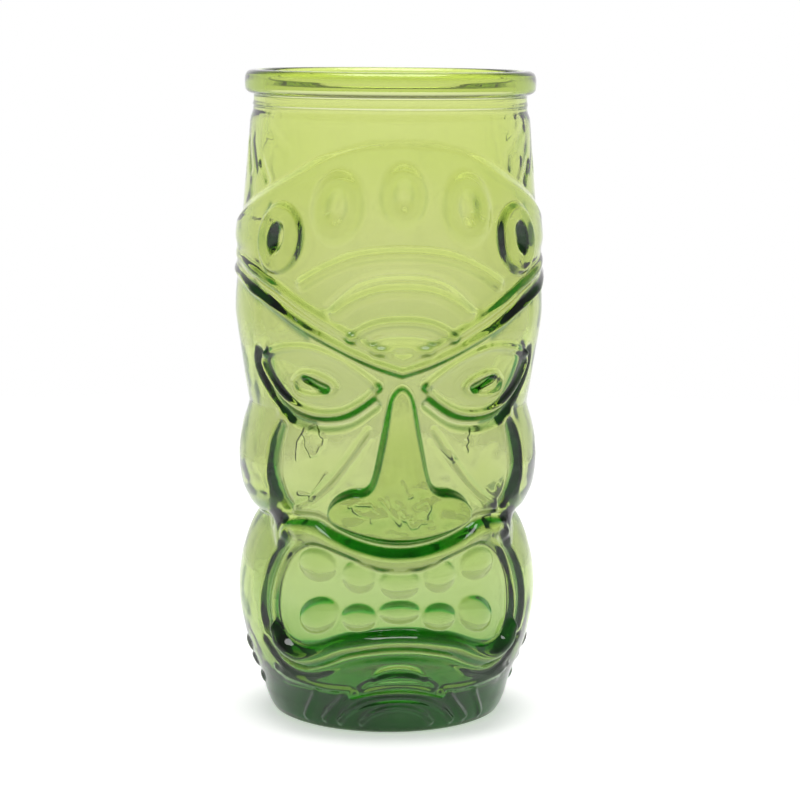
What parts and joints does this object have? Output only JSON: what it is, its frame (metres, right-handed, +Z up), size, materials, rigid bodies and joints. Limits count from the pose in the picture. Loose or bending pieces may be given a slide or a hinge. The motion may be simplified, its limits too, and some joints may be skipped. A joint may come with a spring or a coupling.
{
  "type": "tiki tumbler",
  "caption": "Tall handle-less tiki face tumbler of translucent yellow-green pressed glass with a thick rim bead and a heavy base.",
  "frame": {"origin": "middle of the foot, on the surface it stands on", "axes": "+Z up to the rim, the face looks towards -Y, +X is to the face's left hand"},
  "size_m": [0.081, 0.082, 0.17],
  "materials": {
    "green_glass": "polished, translucent yellow-green"
  },
  "bodies": {
    "root": {"rim_finish": "green_glass", "face_wall": "green_glass", "back_wall": "green_glass", "base": "green_glass"}
  },
  "joints": []
}
